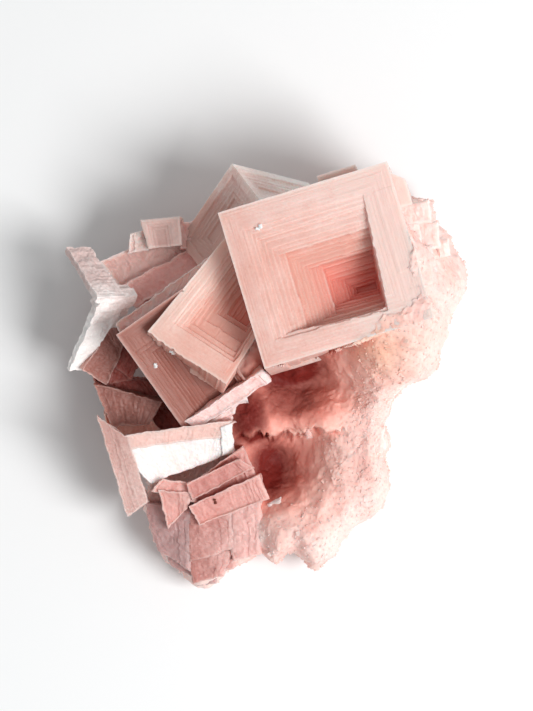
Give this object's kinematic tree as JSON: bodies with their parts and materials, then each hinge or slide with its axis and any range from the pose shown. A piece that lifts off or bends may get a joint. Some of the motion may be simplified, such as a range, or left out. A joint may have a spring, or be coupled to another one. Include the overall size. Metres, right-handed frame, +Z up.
{
  "type": "halite cubic crystal specimen",
  "caption": "Pink halite specimen: skeletal hopper cubes with stepped pits, leaning on one another on a granular halite matrix that is cut flat below.",
  "frame": {"origin": "on the flat cut face of the matrix, under the middle of the specimen's bounding box", "axes": "+Z up, out of the face of the largest crystal; +X to the right and +Y away from the viewer when the largest crystal is at the upper right, as in the picture"},
  "size_m": [0.0814, 0.0848, 0.0392],
  "materials": {
    "pink_halite": "frosted, satin, paler on the edges",
    "granular_halite": "sugary, matt, with small glints"
  },
  "bodies": {
    "root": {"large_hopper_crystal": "pink_halite", "back_crystal": "pink_halite", "left_hopper_crystals": "pink_halite", "lower_crystals": "pink_halite", "granular_matrix": "granular_halite"}
  },
  "joints": []
}
